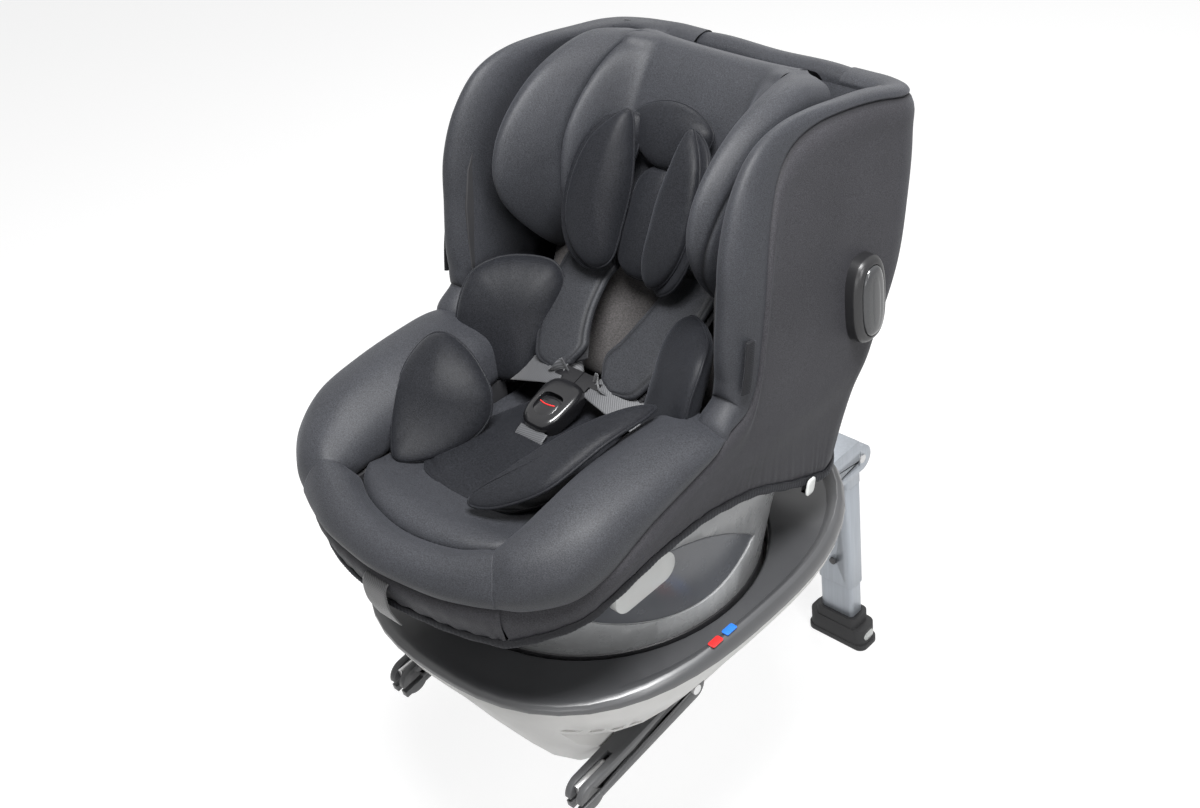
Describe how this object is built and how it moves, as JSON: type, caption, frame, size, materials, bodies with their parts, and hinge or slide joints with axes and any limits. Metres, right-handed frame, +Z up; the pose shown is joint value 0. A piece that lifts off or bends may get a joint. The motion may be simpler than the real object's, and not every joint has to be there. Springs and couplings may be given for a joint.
{
  "type": "convertible car seat",
  "caption": "Padded child car seat with wings, headrest and harness that spins and reclines on a base with swinging anchor arms and a folding support leg.",
  "frame": {"origin": "where the turning axis meets the plane of the base underside, which rests on the vehicle seat", "axes": "+X to the right of someone facing the seat, -Y the way the seat faces, +Z up along the turning axis"},
  "size_m": [0.456, 0.743, 0.968],
  "materials": {
    "tub_plastic": "fine grained light grey",
    "tray_plastic": "satin black",
    "steel": "zinc plated",
    "bracket_plastic": "fine grained",
    "mark_colour": "printed inlay",
    "arm_plastic": "fine grained",
    "leg_metal": "satin lacquer",
    "foot_rubber": "matt",
    "window_clear": "milky",
    "turn_plastic": "satin",
    "bowl_plastic": "semi-gloss grey",
    "button_pale": "semi-gloss",
    "shell_plastic": "grained",
    "cover_fabric": "melange knit",
    "lining_fabric": "melange knit",
    "insert_fabric": "smooth jersey",
    "webbing": "woven webbing",
    "adjuster_web": "glossy woven webbing",
    "buckle_plastic": "gloss black",
    "pod_plastic": "satin black"
  },
  "bodies": {
    "base": {"base_tub": "tub_plastic", "base_tray": "tray_plastic", "bearing_ring": "turn_plastic", "spin_hub": "steel", "isofix_shaft": "steel", "leg_bracket": "bracket_plastic", "leg_pin": "steel", "orientation_marks": "mark_colour"},
    "leg": {"leg_knuckle": "bracket_plastic", "leg_tube_upper": "leg_metal"},
    "leg_button": {"leg_button": "arm_plastic"},
    "leg_slider": {"leg_tube_lower": "leg_metal", "leg_foot": "foot_rubber", "foot_window": "window_clear"},
    "turntable": {"turntable": "turn_plastic", "turntable_bowl": "bowl_plastic", "recline_rails": "turn_plastic"},
    "seat": {"seat_pan": "shell_plastic", "back_shell": "shell_plastic", "back_frame": "shell_plastic", "side_cover_left": "cover_fabric", "side_cover_right": "cover_fabric", "thigh_bolster_left": "lining_fabric", "thigh_bolster_right": "lining_fabric", "front_panel": "lining_fabric", "seat_pad": "lining_fabric", "back_pad": "lining_fabric", "insert_base": "insert_fabric", "insert_leg_left": "insert_fabric", "insert_leg_right": "insert_fabric", "insert_body_left": "insert_fabric", "insert_body_right": "insert_fabric", "shoulder_straps": "webbing", "shoulder_pad_left": "insert_fabric", "shoulder_pad_right": "insert_fabric", "lap_straps": "webbing", "crotch_strap": "webbing", "buckle_body": "buckle_plastic", "buckle_tongues": "steel", "adjuster_strap": "adjuster_web", "tongue_holders": "pod_plastic"},
    "buckle_button": {"buckle_button": "buckle_plastic"},
    "harness_lever": {"harness_lever": "steel"},
    "recline_handle": {"recline_handle": "turn_plastic"},
    "headrest": {"headrest_shell": "shell_plastic", "headrest_pad": "lining_fabric", "head_hugger": "insert_fabric"},
    "headrest_handle": {"headrest_handle": "turn_plastic"},
    "isofix_left": {"isofix_arm_left": "arm_plastic"},
    "isofix_hook_left": {"isofix_hook_left": "steel"},
    "isofix_button_left": {"isofix_button_left": "arm_plastic"},
    "spin_button_left": {"spin_button_left": "button_pale"},
    "side_pod_left": {"side_pod_left": "pod_plastic"},
    "isofix_right": {"isofix_arm_right": "arm_plastic"},
    "isofix_hook_right": {"isofix_hook_right": "steel"},
    "isofix_button_right": {"isofix_button_right": "arm_plastic"},
    "spin_button_right": {"spin_button_right": "button_pale"},
    "side_pod_right": {"side_pod_right": "pod_plastic"}
  },
  "joints": [
    {"name": "seat_spin", "type": "hinge", "parent": "base", "child": "turntable", "pos_m": [0, 0, 0.167], "axis": [0, 0, 1], "continuous": true},
    {"name": "seat_recline", "type": "hinge", "parent": "turntable", "child": "seat", "pos_m": [0, -0.01, 0.425], "axis": [1, 0, 0], "range_deg": [0, 15]},
    {"name": "headrest_height", "type": "slide", "parent": "seat", "child": "headrest", "axis": [0, 0.5, 0.866], "range_m": [0, 0.14]},
    {"name": "headrest_release", "type": "slide", "parent": "headrest", "child": "headrest_handle", "axis": [0, 0.5, 0.866], "range_m": [0, 0.006], "stiffness_N_per_m": 700},
    {"name": "leg_fold", "type": "hinge", "parent": "base", "child": "leg", "pos_m": [0, 0.43, 0.021], "axis": [-1, 0, 0], "range_deg": [0, 90]},
    {"name": "leg_extend", "type": "slide", "parent": "leg", "child": "leg_slider", "axis": [0, 0, -1], "range_m": [0, 0.12]},
    {"name": "leg_release", "type": "slide", "parent": "leg", "child": "leg_button", "axis": [0, 1, 0], "range_m": [0, 0.004], "stiffness_N_per_m": 700},
    {"name": "buckle_release", "type": "slide", "parent": "seat", "child": "buckle_button", "axis": [0, 0.2756, -0.9613], "range_m": [0, 0.003], "stiffness_N_per_m": 1500},
    {"name": "harness_release", "type": "hinge", "parent": "seat", "child": "harness_lever", "pos_m": [0, -0.243, 0.335], "axis": [1, 0, 0], "range_deg": [0, 20], "stiffness_Nm_per_rad": 0.4},
    {"name": "recline_release", "type": "hinge", "parent": "seat", "child": "recline_handle", "pos_m": [0, -0.233, 0.302], "axis": [-1, 0, 0], "range_deg": [0, 16], "stiffness_Nm_per_rad": 0.6},
    {"name": "isofix_swing_left", "type": "hinge", "parent": "base", "child": "isofix_left", "pos_m": [-0.14, -0.03, 0.05], "axis": [1, 0, 0], "range_deg": [0, 166]},
    {"name": "isofix_slider_left", "type": "slide", "parent": "isofix_left", "child": "isofix_button_left", "axis": [0, -0.9932, -0.1167], "range_m": [0, 0.008]},
    {"name": "isofix_latch_left", "type": "hinge", "parent": "isofix_left", "child": "isofix_hook_left", "pos_m": [-0.14, -0.16676, 0.03997], "axis": [1, 0, 0], "range_deg": [0, 22.5]},
    {"name": "spin_release_left", "type": "slide", "parent": "turntable", "child": "spin_button_left", "axis": [1, 0, 0], "range_m": [0, 0.005], "stiffness_N_per_m": 900},
    {"name": "side_guard_left", "type": "slide", "parent": "seat", "child": "side_pod_left", "axis": [-1, 0, 0], "range_m": [0, 0.022]},
    {"name": "isofix_swing_right", "type": "hinge", "parent": "base", "child": "isofix_right", "pos_m": [0.14, -0.03, 0.05], "axis": [1, 0, 0], "range_deg": [0, 166]},
    {"name": "isofix_slider_right", "type": "slide", "parent": "isofix_right", "child": "isofix_button_right", "axis": [0, -0.9932, -0.1167], "range_m": [0, 0.008]},
    {"name": "isofix_latch_right", "type": "hinge", "parent": "isofix_right", "child": "isofix_hook_right", "pos_m": [0.14, -0.16676, 0.03997], "axis": [1, 0, 0], "range_deg": [0, 22.5]},
    {"name": "spin_release_right", "type": "slide", "parent": "turntable", "child": "spin_button_right", "axis": [-1, 0, 0], "range_m": [0, 0.005], "stiffness_N_per_m": 900},
    {"name": "side_guard_right", "type": "slide", "parent": "seat", "child": "side_pod_right", "axis": [1, 0, 0], "range_m": [0, 0.022]}
  ],
  "couplings": [
    {"joint": "isofix_latch_left", "follows": "isofix_slider_left", "rad_per_m": 48},
    {"joint": "isofix_latch_right", "follows": "isofix_slider_right", "rad_per_m": 48}
  ]
}
